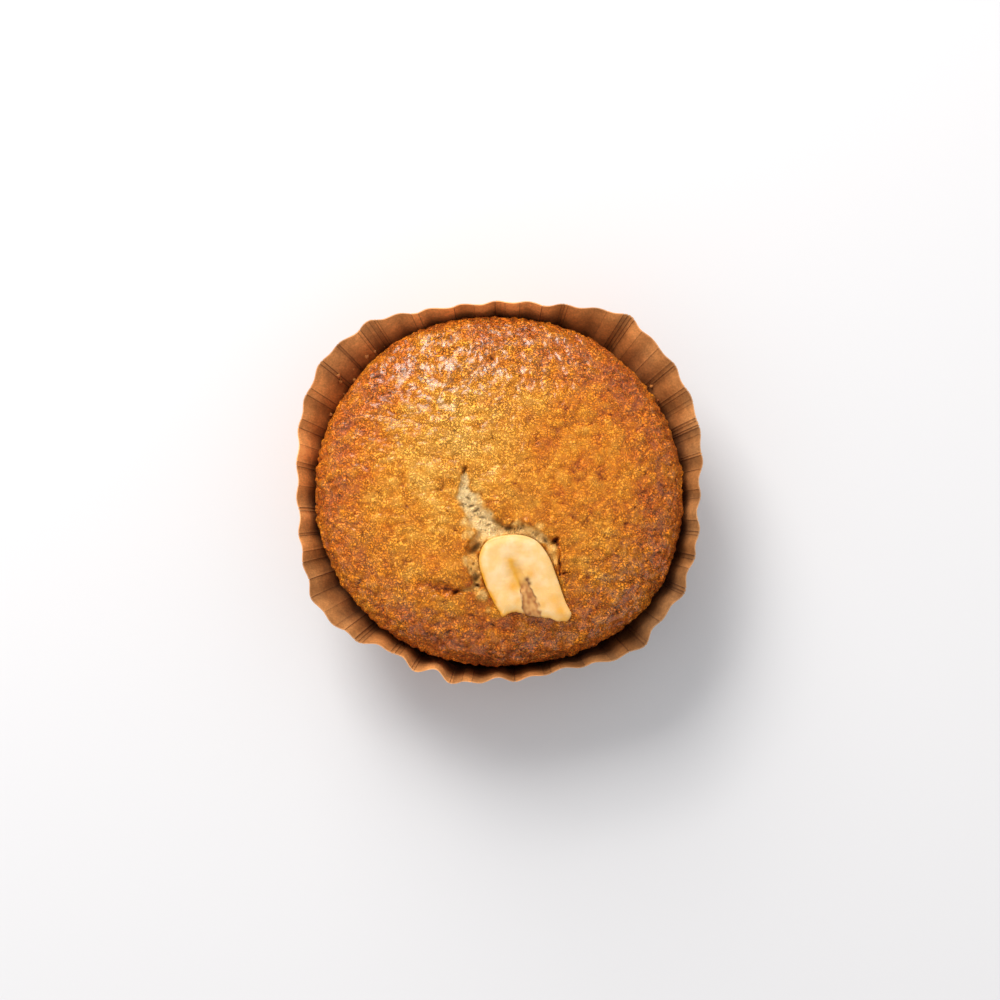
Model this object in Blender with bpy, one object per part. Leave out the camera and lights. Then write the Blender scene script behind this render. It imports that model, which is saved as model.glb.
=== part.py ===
"""Banana bread for one: a domed round cake in its pleated brown paper case, with half a banana chip on top.

The paper case stands on z = 0, and the origin is on its foot, below the middle of its rim's outline.
+Y points away from the broken end of the banana chip. Angles are counted from +X towards +Y, in degrees.
"""

import math

import bmesh
import bpy
from mathutils import Vector, noise

MM = 0.001

# The paper case. Its slope length is the same all round, so it stands lowest where it leans out furthest.
PAPER = 0.4 * MM
FOOT_RADIUS = 45 * MM
FOOT_ROUND = 1.2 * MM
SLOPE_LENGTH = 36 * MM
MADE_FLARE = 4.5 * MM
LEAN_POWER = 2.5
RIM_RADIUS = 52.7 * MM
RIM_OVAL = 1.3 * MM
# Where the rim was pulled outwards: direction, reach, and the bell's width before and after that direction.
RIM_LOBES = (
    (50, 6.9 * MM, 34, 17.5),
    (143, 6.8 * MM, 29, 24),
    (209, 5.2 * MM, 15, 20),
    (315, 3.7 * MM, 12, 27),
)
RIM_SHIFT = (0.13 * MM, -0.25 * MM)

# The pleats, which run from the foot to the rim. Each has a crest, and then a valley: the direction of each,
# and how far it stands outside the rim's smooth line there, or inside it where that is below 0.
PLEATS = (
    (9, -0.05 * MM, 12.5, -0.4 * MM),
    (17.5, 0.35 * MM, 22, -0.1 * MM),
    (26.5, 0.3 * MM, 32, -0.7 * MM),
    (36, 0.0 * MM, 40.5, -0.9 * MM),
    (45.5, -0.45 * MM, 49, -0.75 * MM),
    (54, 1.05 * MM, 58, 0.15 * MM),
    (62.5, 0.65 * MM, 66.5, 0.1 * MM),
    (71.5, 0.9 * MM, 76, -0.1 * MM),
    (81.5, 0.7 * MM, 86.5, 0.0 * MM),
    (91, 0.4 * MM, 96, -0.6 * MM),
    (101.5, -0.1 * MM, 105.5, -0.8 * MM),
    (111.5, -0.1 * MM, 115, -0.7 * MM),
    (120, 0.5 * MM, 123.5, 0.25 * MM),
    (127.5, 1.5 * MM, 132.5, 0.0 * MM),
    (137, 0.6 * MM, 140.5, 0.1 * MM),
    (144.5, 0.6 * MM, 149.5, -0.6 * MM),
    (154.5, 0.1 * MM, 158, -0.45 * MM),
    (162.5, 0.2 * MM, 167, -0.5 * MM),
    (172, 0.15 * MM, 176.5, -0.35 * MM),
    (181.5, 0.4 * MM, 187, -0.35 * MM),
    (191.5, 0.3 * MM, 196, -0.7 * MM),
    (199.5, -0.5 * MM, 204.5, -1.5 * MM),
    (209.5, 0.05 * MM, 213.5, -0.5 * MM),
    (218.5, 0.4 * MM, 222, -0.2 * MM),
    (226.5, 0.7 * MM, 231.5, -1.3 * MM),
    (235.5, -0.8 * MM, 239, -1.0 * MM),
    (244.5, 1.4 * MM, 250, -1.0 * MM),
    (255.5, 1.7 * MM, 260, 0.35 * MM),
    (263.5, 0.4 * MM, 269.5, -1.5 * MM),
    (274.5, -0.2 * MM, 279.5, -1.2 * MM),
    (284, -0.7 * MM, 289.5, -1.4 * MM),
    (295.5, 0.1 * MM, 298.5, -0.2 * MM),
    (304, 0.95 * MM, 309, 0.1 * MM),
    (313, 0.75 * MM, 318.5, -1.35 * MM),
    (322.5, -0.75 * MM, 326, -0.95 * MM),
    (331.5, 0.75 * MM, 336.5, -0.65 * MM),
    (341.5, 0.3 * MM, 345, -0.45 * MM),
    (349, 0.0 * MM, 354.5, -1.5 * MM),
    (359, -0.75 * MM, 363.3, -1.4 * MM),
)
FOOT_PLEAT_DEPTH = 0.5 * MM
# The cake leaves room for valleys this deep everywhere, and for the deeper ones over this many degrees.
PLEAT_ROOM = 0.5 * MM
VALLEY_SPREAD = 9
WALL_LEVELS = (0.06, 0.3, 0.55, 0.8, 1.0)

# The cake.
CLEARANCE = 0.3 * MM
SHOULDER_HEIGHT = 30 * MM
SHOULDER_RADIUS = 48.5 * MM
SHOULDER_OVAL = 1.1 * MM
SHOULDER_LOBES = (
    (60, 0.7 * MM, 18, 18),
    (115, 0.7 * MM, 18, 18),
    (135, 1.1 * MM, 40, 40),
    (200, 0.5 * MM, 20, 20),
    (270, -0.5 * MM, 18, 18),
    (322, 1.6 * MM, 25, 25),
)
BASE_RADIUS = 43.6 * MM
BASE_ROUND = 3 * MM
SIDE_POWER = 1.2
SIDE_LEVELS = (0.8, 0.55, 0.3)
DOME_RISE = 18 * MM
OUTLINE_POINTS = 104
DOME_RINGS = 30

# Gentle swells of the crust: how far apart, and how high. They fade out beyond a share of the radius.
SWELLS = ((23 * MM, 0.8 * MM), (9.5 * MM, 0.35 * MM))
SWELL_FADE = 0.9
# Places where the crust bulges beside a crack: x, y, radius, height.
BULGES = (
    (-15 * MM, -19 * MM, 8 * MM, 1.1 * MM),
    (0.5 * MM, -2.5 * MM, 5.5 * MM, 0.7 * MM),
    (-20 * MM, -32 * MM, 7 * MM, 0.7 * MM),
    (22 * MM, -17 * MM, 7 * MM, 0.6 * MM),
)

# Cracks, each a line of places: x, y, half the width and the depth of the tear there.
CRACKS = (
    (
        (-9.8 * MM, 5.6 * MM, 0.6 * MM, 1.6 * MM),
        (-9.3 * MM, 2.8 * MM, 1.2 * MM, 2.0 * MM),
        (-8.8 * MM, 0.4 * MM, 1.5 * MM, 2.0 * MM),
        (-8.7 * MM, -1.6 * MM, 2.7 * MM, 2.2 * MM),
        (-7.0 * MM, -5.0 * MM, 3.1 * MM, 2.5 * MM),
        (-5.6 * MM, -7.4 * MM, 3.1 * MM, 2.7 * MM),
        (-3.2 * MM, -10.8 * MM, 3.8 * MM, 2.9 * MM),
        (-5.6 * MM, -13.4 * MM, 2.4 * MM, 2.7 * MM),
        (-7.0 * MM, -16.8 * MM, 1.9 * MM, 2.8 * MM),
        (-7.7 * MM, -20.3 * MM, 2.2 * MM, 1.4 * MM),
        (-6.2 * MM, -24.8 * MM, 2.1 * MM, 2.6 * MM),
        (-8.4 * MM, -27.4 * MM, 1.5 * MM, 2.1 * MM),
        (-11.6 * MM, -27.3 * MM, 1.2 * MM, 2.6 * MM),
        (-15.2 * MM, -26.8 * MM, 1.3 * MM, 1.6 * MM),
        (-22.6 * MM, -25.1 * MM, 1.2 * MM, 1.1 * MM),
        (-26.2 * MM, -25.9 * MM, 0.9 * MM, 0.3 * MM),
    ),
    (
        (-1.0 * MM, -10.2 * MM, 3.0 * MM, 2.8 * MM),
        (2.4 * MM, -10.8 * MM, 2.2 * MM, 2.0 * MM),
        (6.0 * MM, -10.6 * MM, 2.8 * MM, 1.4 * MM),
        (9.5 * MM, -11.2 * MM, 2.7 * MM, 1.4 * MM),
        (12.4 * MM, -13.2 * MM, 2.2 * MM, 2.0 * MM),
        (15.0 * MM, -14.4 * MM, 1.2 * MM, 2.4 * MM),
        (15.9 * MM, -18.4 * MM, 0.8 * MM, 1.3 * MM),
        (16.2 * MM, -22.5 * MM, 0.9 * MM, 1.4 * MM),
        (18.8 * MM, -21.9 * MM, 0.6 * MM, 0.5 * MM),
    ),
)
CRACK_WALL_POWER = 3
LIP_WIDTH = 2.4 * MM
LIP_HEIGHT = 0.35 * MM

# The banana chip. Its outline starts at the middle of its round end and runs clockwise, seen from above.
CHIP_OUTLINE = (
    (5.0 * MM, -12.3 * MM),
    (9.7 * MM, -13.9 * MM),
    (13.0 * MM, -18.0 * MM),
    (15.2 * MM, -23.4 * MM),
    (17.5 * MM, -29.9 * MM),
    (19.1 * MM, -33.5 * MM),
    (17.2 * MM, -35.3 * MM),
    (12.4 * MM, -34.3 * MM),
    (7.7 * MM, -33.7 * MM),
    (4.6 * MM, -32.8 * MM),
    (2.4 * MM, -33.2 * MM),
    (0.8 * MM, -34.0 * MM),
    (-0.8 * MM, -31.6 * MM),
    (-3.9 * MM, -25.3 * MM),
    (-5.5 * MM, -19.0 * MM),
    (-3.9 * MM, -14.6 * MM),
    (-0.5 * MM, -12.8 * MM),
)
CHIP_STEPS = 4
CHIP_CENTRE = (6.5 * MM, -23.4 * MM)
CHIP_SEAT = 44.7 * MM
CHIP_SLOPE = (-0.05, 0.15)
CHIP_THICKNESS = 2.5 * MM
CHIP_BEVEL = 0.5 * MM
# Rings from the chip's edge to its middle, as shares of its outline.
CHIP_RINGS = (0.88, 0.74, 0.6, 0.46, 0.32, 0.18)
# The slot where the seeds were, from its narrow start to the broken edge: x, y, half width, depth.
SEED_SLOT = (
    (4.2 * MM, -20.6 * MM, 0.8 * MM, 0.15 * MM),
    (6.6 * MM, -25.2 * MM, 1.3 * MM, 0.5 * MM),
    (7.9 * MM, -29.4 * MM, 2.0 * MM, 0.8 * MM),
    (8.9 * MM, -34.5 * MM, 2.9 * MM, 0.9 * MM),
)
RECESS_MARGIN = 1.6 * MM
RECESS_WALL_SLOPE = 1.6

# Colour, roughness and metallic value of each material.
FINISHES = {
    "crust": ((0.50, 0.19, 0.035, 1), 0.45, 0.0),
    "brown_paper": ((0.38, 0.19, 0.08, 1), 0.75, 0.0),
    "banana_chip": ((0.86, 0.62, 0.26, 1), 0.5, 0.0),
}


def bell(angle, direction, before, after):
    """1 in the given direction, falling away on either side. All in degrees."""
    away = (angle - direction + 180) % 360 - 180
    width = after if away > 0 else before
    return math.exp(-((away / width) ** 2))


def bells(angle, lobes):
    """The sum at an angle of bells, each a direction, a height, and its width before and after."""
    return sum(height * bell(angle, way, before, after) for way, height, before, after in lobes)


def lobed_radius(angle, radius, oval, lobes):
    """A round outline that is wider along X, and pulled outwards in some directions."""
    return radius + oval * math.cos(math.radians(2 * angle)) + bells(angle, lobes)


def rim_radius(angle):
    return lobed_radius(angle, RIM_RADIUS, RIM_OVAL, RIM_LOBES)


def shoulder_radius(angle):
    return lobed_radius(angle, SHOULDER_RADIUS, SHOULDER_OVAL, SHOULDER_LOBES)


def paper_radius(angle, fraction):
    """Radius of the paper's middle line at a fraction of its slope, without the pleats."""
    lean = rim_radius(angle) - FOOT_RADIUS - MADE_FLARE
    return FOOT_RADIUS + MADE_FLARE * fraction + lean * fraction**LEAN_POWER


def paper_height(angle, fraction):
    reach = rim_radius(angle) - FOOT_RADIUS
    return fraction * math.sqrt(SLOPE_LENGTH**2 - reach**2)


def pleat_reach(at_foot, at_rim, fraction):
    """How far a pleat stands out at a fraction of the slope: it grows evenly from the foot to the rim."""
    return at_foot + (at_rim - at_foot) * fraction


def deepest_valley(angle):
    """How far the valleys around a direction come in at the rim."""
    deep = PLEAT_ROOM
    for _, _, valley, reach in PLEATS:
        deep = max(deep, -reach * bell(angle, valley, VALLEY_SPREAD, VALLEY_SPREAD))
    return deep


def mesh_object(name, points, faces, finish):
    """One named object from points and faces, with its material."""
    mesh = bpy.data.meshes.new(name)
    mesh.from_pydata([tuple(p) for p in points], [], faces)
    work = bmesh.new()
    work.from_mesh(mesh)
    bmesh.ops.recalc_face_normals(work, faces=work.faces)
    work.to_mesh(mesh)
    work.free()
    mesh.shade_smooth()
    mesh.set_sharp_from_angle(angle=math.radians(40))
    mesh.materials.append(make_material(finish))
    made = bpy.data.objects.new(name, mesh)
    bpy.context.scene.collection.objects.link(made)
    return made


def make_material(name):
    colour, roughness, metallic = FINISHES[name]
    material = bpy.data.materials.new(name)
    material.use_nodes = True
    surface = material.node_tree.nodes["Principled BSDF"]
    surface.inputs["Base Color"].default_value = colour
    surface.inputs["Roughness"].default_value = roughness
    surface.inputs["Metallic"].default_value = metallic
    return material


def loft(rings, first_centre, last_centre):
    """Points and faces of a closed body: a fan, bands of quads between rings of equal count, and a fan."""
    count = len(rings[0])
    points = [first_centre] + [p for ring in rings for p in ring] + [last_centre]
    faces = []
    for i in range(count):
        after = (i + 1) % count
        faces.append((0, 1 + after, 1 + i))
        for level in range(len(rings) - 1):
            low, high = 1 + level * count, 1 + (level + 1) * count
            faces.append((low + i, low + after, high + after, high + i))
        top = 1 + (len(rings) - 1) * count
        faces.append((top + i, top + after, len(points) - 1))
    return points, faces


def polar(radius, angle, height):
    turned = math.radians(angle)
    return Vector((radius * math.cos(turned), radius * math.sin(turned), height))


def make_paper_case():
    """The case as a thin closed shell: the foot, up the outside, over the rim and down the inside."""
    at_crest, at_valley = FOOT_PLEAT_DEPTH / 2, -FOOT_PLEAT_DEPTH / 2
    columns = []
    for index, (crest, high, valley, low) in enumerate(PLEATS):
        last = index + 1 == len(PLEATS)
        following, next_high = PLEATS[(index + 1) % len(PLEATS)][:2]
        columns.append((crest, at_crest, high))
        columns.append(((crest + valley) / 2, 0.0, (high + low) / 2))
        columns.append((valley, at_valley, low))
        columns.append(((valley + following + (360 if last else 0)) / 2, 0.0, (low + next_high) / 2))

    def ring(fraction, inset, lift=0.0):
        made = []
        for angle, at_foot, at_rim in columns:
            radius = paper_radius(angle, fraction) + pleat_reach(at_foot, at_rim, fraction) - inset
            made.append(polar(radius, angle, paper_height(angle, fraction) + lift))
        return made

    outside = [ring(0, FOOT_ROUND)] + [ring(level, 0) for level in WALL_LEVELS]
    inside = [ring(level, PAPER) for level in reversed(WALL_LEVELS)] + [ring(0, FOOT_ROUND + PAPER, PAPER)]
    points, faces = loft(outside + inside, Vector((0, 0, 0)), Vector((0, 0, PAPER)))
    shift = Vector((*RIM_SHIFT, 0))
    return mesh_object("paper_case", [p + shift for p in points], faces, "brown_paper")


def smooth_outline(corners, steps):
    """A closed curve through the corners, as a Catmull-Rom spline with a number of steps between corners."""
    count = len(corners)
    curve = []
    for i in range(count):
        a, b, c, d = (Vector(corners[(i + k) % count]) for k in (-1, 0, 1, 2))
        for step in range(steps):
            t = step / steps
            curve.append(0.5 * (2 * b + (c - a) * t + (2 * a - 5 * b + 4 * c - d) * t**2 + (3 * b - a - 3 * c + d) * t**3))
    return curve


def chip_underside(x, y):
    return CHIP_SEAT + CHIP_SLOPE[0] * (x - CHIP_CENTRE[0]) + CHIP_SLOPE[1] * (y - CHIP_CENTRE[1])


def along(stations, x, y):
    """Distance to the nearest place on a line of stations, and the half width and depth there."""
    best = (math.inf, 0.0, 0.0)
    here = Vector((x, y))
    for first, second in zip(stations, stations[1:]):
        start, end = Vector(first[:2]), Vector(second[:2])
        run = end - start
        share = min(1.0, max(0.0, (here - start).dot(run) / run.length_squared))
        distance = (here - start - run * share).length
        if distance < best[0]:
            width = first[2] + (second[2] - first[2]) * share
            depth = first[3] + (second[3] - first[3]) * share
            best = (distance, width, depth)
    return best


def make_banana_chip(outline):
    """The chip as rings: its underside, its bevelled edge, and its top with the slot where the seeds were."""
    centre = Vector(CHIP_CENTRE)

    def ring(share, inset, height, slotted=False):
        made = []
        for corner in outline:
            arm = corner - centre
            place = centre + arm * (share - inset / arm.length)
            made.append(Vector((*place, chip_underside(*place) + height - (slot_depth(*place) if slotted else 0))))
        return made

    rings = [ring(share, 0, 0) for share in (0.4, 0.75)]
    rings.append(ring(1, CHIP_BEVEL, 0))
    rings.append(ring(1, 0, CHIP_BEVEL))
    rings.append(ring(1, 0, CHIP_THICKNESS - CHIP_BEVEL, True))
    rings.append(ring(1, CHIP_BEVEL, CHIP_THICKNESS, True))
    rings += [ring(share, 0, CHIP_THICKNESS, True) for share in CHIP_RINGS]
    low = chip_underside(*centre)
    top = low + CHIP_THICKNESS - slot_depth(*centre)
    points, faces = loft(rings, Vector((*centre, low)), Vector((*centre, top)))
    return mesh_object("banana_chip", points, faces, "banana_chip")


def slot_depth(x, y):
    distance, width, depth = along(SEED_SLOT, x, y)
    return depth * max(0.0, 1 - (distance / width) ** 2)


def tear(x, y):
    """How far the cracks lower the crust at a place, less the small lip that curls up beside them."""
    lowered = 0.0
    for crack in CRACKS:
        distance, width, depth = along(crack, x, y)
        if distance < width:
            lowered = max(lowered, depth * (1 - (distance / width) ** CRACK_WALL_POWER))
        elif distance < width + LIP_WIDTH and lowered <= 0:
            lowered = -LIP_HEIGHT * (1 - (distance - width) / LIP_WIDTH) ** 2
    return lowered


def swell(x, y):
    """The crust's gentle unevenness and the bulges beside its cracks."""
    raised = 0.0
    for spacing, height in SWELLS:
        raised += height * noise.noise(Vector((x / spacing, y / spacing, 0)), noise_basis="PERLIN_ORIGINAL")
    for centre_x, centre_y, radius, height in BULGES:
        distance = math.hypot(x - centre_x, y - centre_y)
        raised += height * math.exp(-((distance / radius) ** 2))
    return raised


def outside_distance(outline, x, y):
    """Distance from a place to the outline, or 0 inside it."""
    here = Vector((x, y))
    inside = False
    nearest = math.inf
    for start, end in zip(outline, outline[1:] + outline[:1]):
        if (start.y > y) != (end.y > y) and x < start.x + (end.x - start.x) * (y - start.y) / (end.y - start.y):
            inside = not inside
        run = end - start
        share = min(1.0, max(0.0, (here - start).dot(run) / run.length_squared))
        nearest = min(nearest, (here - start - run * share).length)
    return 0.0 if inside else nearest


def crust_height(x, y, chip_outline):
    """Height of the cake's crust: the dome, its swells and cracks, and the recess that the chip lies in."""
    angle = math.degrees(math.atan2(y, x))
    reach = min(1.0, math.hypot(x, y) / shoulder_radius(angle))
    dome = SHOULDER_HEIGHT + DOME_RISE * math.sqrt(1 - reach**2)
    fade = min(1.0, max(0.0, (1 - reach) / (1 - SWELL_FADE)))
    height = dome + fade * (swell(x, y) - tear(x, y))
    beyond = max(0.0, outside_distance(chip_outline, x, y) - RECESS_MARGIN)
    seat = chip_underside(x, y) - CLEARANCE + RECESS_WALL_SLOPE * beyond
    return min(height, seat)


def side_radius(angle, height):
    """Radius of the cake's side, which keeps clear of the deepest pleat of the paper."""
    rise = height / SHOULDER_HEIGHT
    natural = BASE_RADIUS + (shoulder_radius(angle) - BASE_RADIUS) * rise**SIDE_POWER
    fraction = height / paper_height(angle, 1)
    off_centre = max(abs(RIM_SHIFT[0]), abs(RIM_SHIFT[1]))
    valley = pleat_reach(FOOT_PLEAT_DEPTH / 2, deepest_valley(angle), fraction)
    room = paper_radius(angle, fraction) - valley - PAPER - off_centre - 2 * CLEARANCE
    return min(natural, room)


def make_banana_bread(chip_outline):
    """The cake as rings: its base, its side, and a dome whose rings close in on the banana chip."""
    angles = [360 * i / OUTLINE_POINTS for i in range(OUTLINE_POINTS)]
    floor = PAPER + CLEARANCE
    rings = [[polar(BASE_RADIUS - BASE_ROUND, angle, floor) for angle in angles]]
    rings.append([polar(side_radius(angle, floor + BASE_ROUND), angle, floor + BASE_ROUND) for angle in angles])
    for level in reversed(SIDE_LEVELS):
        height = SHOULDER_HEIGHT * level
        rings.append([polar(side_radius(angle, height), angle, height) for angle in angles])
    edge = [polar(shoulder_radius(angle), angle, SHOULDER_HEIGHT) for angle in angles]
    rings.append(edge)
    centre = Vector(CHIP_CENTRE)
    for index in range(1, DOME_RINGS):
        share = math.sin(0.5 * math.pi * (1 - index / DOME_RINGS)) ** 1.3
        places = [centre + (rim.to_2d() - centre) * share for rim in edge]
        rings.append([Vector((*p, crust_height(*p, chip_outline))) for p in places])
    top = Vector((*centre, crust_height(*centre, chip_outline)))
    points, faces = loft(rings, Vector((0, 0, floor)), top)
    return mesh_object("banana_bread", points, faces, "crust")


def main():
    for old in list(bpy.data.objects):
        bpy.data.objects.remove(old)
    chip_outline = smooth_outline(CHIP_OUTLINE, CHIP_STEPS)
    make_paper_case()
    make_banana_bread(chip_outline)
    make_banana_chip(chip_outline)


main()
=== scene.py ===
"""The looks of a banana bread for one: crust, torn crumb, pleated paper case, banana chip and a few crumbs.

Lengths are in metres, angles in degrees from +X towards +Y. The sizes of the case, the cake and the chip are
those of the solids, so each piece lies where its solid does.
"""

import math
import random

import bpy
import numpy as np
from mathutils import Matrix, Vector, noise


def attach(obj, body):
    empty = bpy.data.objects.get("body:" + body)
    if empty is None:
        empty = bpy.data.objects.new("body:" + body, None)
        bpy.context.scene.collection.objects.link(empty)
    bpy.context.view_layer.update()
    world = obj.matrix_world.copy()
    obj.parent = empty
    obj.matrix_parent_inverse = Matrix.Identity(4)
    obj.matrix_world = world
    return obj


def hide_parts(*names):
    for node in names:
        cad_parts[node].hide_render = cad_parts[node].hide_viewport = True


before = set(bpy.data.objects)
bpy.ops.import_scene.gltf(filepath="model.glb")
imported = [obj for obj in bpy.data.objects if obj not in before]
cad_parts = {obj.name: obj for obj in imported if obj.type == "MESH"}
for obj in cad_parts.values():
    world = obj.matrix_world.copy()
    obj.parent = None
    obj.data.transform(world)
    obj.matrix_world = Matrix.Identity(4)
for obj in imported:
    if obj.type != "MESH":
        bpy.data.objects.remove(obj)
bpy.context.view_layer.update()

MM = 0.001


def in_mm(lengths, rows):
    """Rows of numbers, of which so many at the start of each are lengths in millimetres."""
    return tuple(tuple(value * MM if i < lengths else value for i, value in enumerate(row)) for row in rows)


# The paper case.
PAPER = 0.4 * MM
FOOT_RADIUS = 45 * MM
FOOT_ROUND = 1.2 * MM
SLOPE_LENGTH = 36 * MM
MADE_FLARE = 4.5 * MM
LEAN_POWER = 2.5
RIM_RADIUS = 52.7 * MM
RIM_OVAL = 1.3 * MM
RIM_LOBES = (
    (50, 6.9 * MM, 34, 17.5), (143, 6.8 * MM, 29, 24), (209, 5.2 * MM, 15, 20), (315, 3.7 * MM, 12, 27),
)
RIM_SHIFT = (0.13 * MM, -0.25 * MM)

# The pleats, each a crest and then a valley: the direction of each, and how many millimetres it stands outside
# the rim's smooth line there, or inside it where that is below 0.
PLEATS = (
    (9, -0.05, 12.5, -0.4), (17.5, 0.35, 22, -0.1), (26.5, 0.3, 32, -0.7), (36, 0, 40.5, -0.9),
    (45.5, -0.45, 49, -0.75), (54, 1.05, 58, 0.15), (62.5, 0.65, 66.5, 0.1), (71.5, 0.9, 76, -0.1),
    (81.5, 0.7, 86.5, 0), (91, 0.4, 96, -0.6), (101.5, -0.1, 105.5, -0.8), (111.5, -0.1, 115, -0.7),
    (120, 0.5, 123.5, 0.25), (127.5, 1.5, 132.5, 0), (137, 0.6, 140.5, 0.1), (144.5, 0.6, 149.5, -0.6),
    (154.5, 0.1, 158, -0.45), (162.5, 0.2, 167, -0.5), (172, 0.15, 176.5, -0.35), (181.5, 0.4, 187, -0.35),
    (191.5, 0.3, 196, -0.7), (199.5, -0.5, 204.5, -1.5), (209.5, 0.05, 213.5, -0.5), (218.5, 0.4, 222, -0.2),
    (226.5, 0.7, 231.5, -1.3), (235.5, -0.8, 239, -1.0), (244.5, 1.4, 250, -1.0), (255.5, 1.7, 260, 0.35),
    (263.5, 0.4, 269.5, -1.5), (274.5, -0.2, 279.5, -1.2), (284, -0.7, 289.5, -1.4), (295.5, 0.1, 298.5, -0.2),
    (304, 0.95, 309, 0.1), (313, 0.75, 318.5, -1.35), (322.5, -0.75, 326, -0.95), (331.5, 0.75, 336.5, -0.65),
    (341.5, 0.3, 345, -0.45), (349, 0, 354.5, -1.5), (359, -0.75, 363.3, -1.4),
)
FOOT_PLEAT_DEPTH = 0.5 * MM
PLEAT_ROOM = 0.5 * MM
VALLEY_SPREAD = 9
COLUMNS_PER_SLOPE = 6

# The directions of the fold lines pressed into the paper.
FOLDS = (
    1, 6.8, 10.6, 11.4, 16.4, 18.3, 19, 20.2, 21, 25, 26.2, 28.7, 29.8, 35.4, 36.2, 37.4, 42.5, 48.7, 52.3, 53.3,
    54.3, 55.3, 59.5, 70, 70.9, 71.8, 77.3, 84, 88.5, 91.5, 98, 104, 114.5, 116.5, 125.5, 126.2, 127.5, 128.6,
    130.6, 131.6, 137.3, 138, 143.3, 144.3, 151, 153, 159.5, 162, 166.3, 171.2, 172.5, 178, 184.2, 185.2, 191.5,
    192.2, 196.8, 199.5, 204.5, 209, 214.3, 219, 221.5, 225.2, 226.4, 227.5, 235.5, 236.8, 238.2, 243.2, 244.2,
    255.2, 256, 258.5, 261.5, 274.5, 283.5, 285.8, 289, 296, 303.5, 309, 313.5, 314.5, 321, 330.8, 331.6, 332.6,
    338, 340.8, 342, 347.8, 348.8, 352, 358.5,
)
FOLD_HALF_WIDTH = 0.2
FOLD_MARGIN = 1.4
FOLD_DEPTH = 0.2 * MM
FOLD_SEED = 21
PANEL_TONES = (0.86, 1.26)
CUT_EDGE = 0.15 * MM
# Painted shade and painted light on the paper by direction, darker above 0 and lighter below 0: direction, how much,
# and the reach before and after.
PAINTED_LIGHT_AND_SHADE = (
    (318, 0.56, 36, 30), (4, 0.3, 30, 30), (143, 0.1, 14, 14), (212, 0.26, 20, 22), (95, -0.72, 26, 30),
    (178, -0.66, 24, 20), (262, -0.2, 20, 20),
)
# How far from the cake the paper is darkened by grease and painted shade.
GREASE_AND_SHADE_REACH = 2.6 * MM
SEEN_PAPER = 0.25 * MM
FOOT_SHARE = 0.06
WALL_RINGS = 15
SHARP_PAPER = 50
# Where crumbs lie on the paper: direction, how thickly, and the reach before and after, then the heights.
CRUMBS_LIE = (
    (143, 1.0, 4, 4), (153, 0.8, 4, 4), (129, 0.9, 4, 4), (158, 0.5, 3, 3), (34, 0.7, 4, 4), (145, 0.15, 25, 25),
)
CRUMB_HEIGHTS = (18 * MM, 20 * MM, 23 * MM, 28 * MM)

# The cake.
CLEARANCE = 0.3 * MM
SHOULDER_HEIGHT = 30 * MM
SHOULDER_RADIUS = 48.5 * MM
SHOULDER_OVAL = 1.1 * MM
SHOULDER_LOBES = (
    (60, 0.7 * MM, 18, 18), (115, 0.7 * MM, 18, 18), (135, 1.1 * MM, 40, 40), (200, 0.5 * MM, 20, 20),
    (270, -0.5 * MM, 18, 18), (322, 1.6 * MM, 25, 25),
)
BASE_RADIUS = 43.6 * MM
BASE_ROUND = 3 * MM
SIDE_POWER = 1.2
DOME_RISE = 18 * MM
SWELLS = in_mm(2, ((23, 0.8), (9.5, 0.35)))
SWELL_FADE = 0.9
BULGES = in_mm(4, (
    (-15, -19, 8, 1.1), (0.5, -2.5, 5.5, 0.7), (-20, -32, 7, 0.7), (22, -17, 7, 0.6),
))
CRUST_GRID = 280
SIDE_LEVELS = (0.975, 0.94, 0.9, 0.84, 0.76, 0.64, 0.48, 0.3, 0.17, 0.12)
SIDE_MARKS = {"brown": 0.7, "coarse": 1.0}
# What roughens the crust: the spacing of each kind, and its height or depth in millimetres.
LUMP_SPACING, LUMP_HEIGHT = 4.4 * MM, 0.28
PEBBLE_SPACING, PEBBLE_HEIGHT = 3.4 * MM, 0.26
WRINKLE_SPACING, WRINKLE_HEIGHT = 1.7 * MM, 0.15
CREASE_SPACING, CREASE_DEPTH = 4.2 * MM, 0.18
FINE_SPACING, FINE_HEIGHT = 0.8 * MM, 0.06
PIT_COUNT = 60
PIT_SEED = 5
PIT_REACH = 46 * MM
# How far the crust has browned: all over, and then x, y, radius and how much more or less.
BROWNING = 0.3
BROWNER = in_mm(3, (
    (42, -10, 24, 0.1), (24, -34, 16, 0.07), (0, 44, 18, 0.12), (0, -45, 20, 0.22), (-15, -19, 8, 0.1),
    (-34, 20, 12, 0.12), (-20, -37, 14, 0.1), (28, 30, 18, 0.16), (26, 4, 18, 0.06), (-16, 6, 16, -0.2),
    (-2, 18, 14, -0.16), (-22, -30, 10, -0.1), (-40, 8, 14, 0.12),
))

# Where the crust's fine grain is stronger or weaker: x, y, radius and how much.
COARSER = in_mm(3, (
    (-14, 34, 20, 0.8), (10, 38, 14, 0.6), (34, -28, 14, 0.7), (10, -41, 9, 0.5), (22, 6, 18, -0.25),
    (-24, -40, 14, 0.3),
))

# Smaller lumps beside the cracks, which the solid leaves out.
LUMPS = in_mm(4, (
    (8.1, -8.4, 1.7, 0.9), (4.6, -7.9, 1.6, 0.5), (12.6, -9.6, 2.2, 0.5), (18, -11.8, 2, 0.7),
    (-12.2, -8, 3.2, 0.6), (-8.8, -9.6, 1.7, 0.6), (-8.6, -12.6, 1.7, 0.5), (-1.2, -5.2, 3, 0.6),
    (14, -16.4, 1.3, 0.7), (14.6, -20, 1.1, 0.5), (18.6, -18.6, 2.4, 0.5), (-9.8, -22, 2.2, 0.6),
    (-13.4, -23.4, 3, 0.6), (-16.5, -29.8, 2.6, 0.6), (-10.6, -31, 2.6, 0.5), (-22.6, -28.6, 2.4, 0.5),
    (-19, -22.6, 2.6, 0.4), (-5.4, -28.2, 1.5, 0.5),
))

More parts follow.
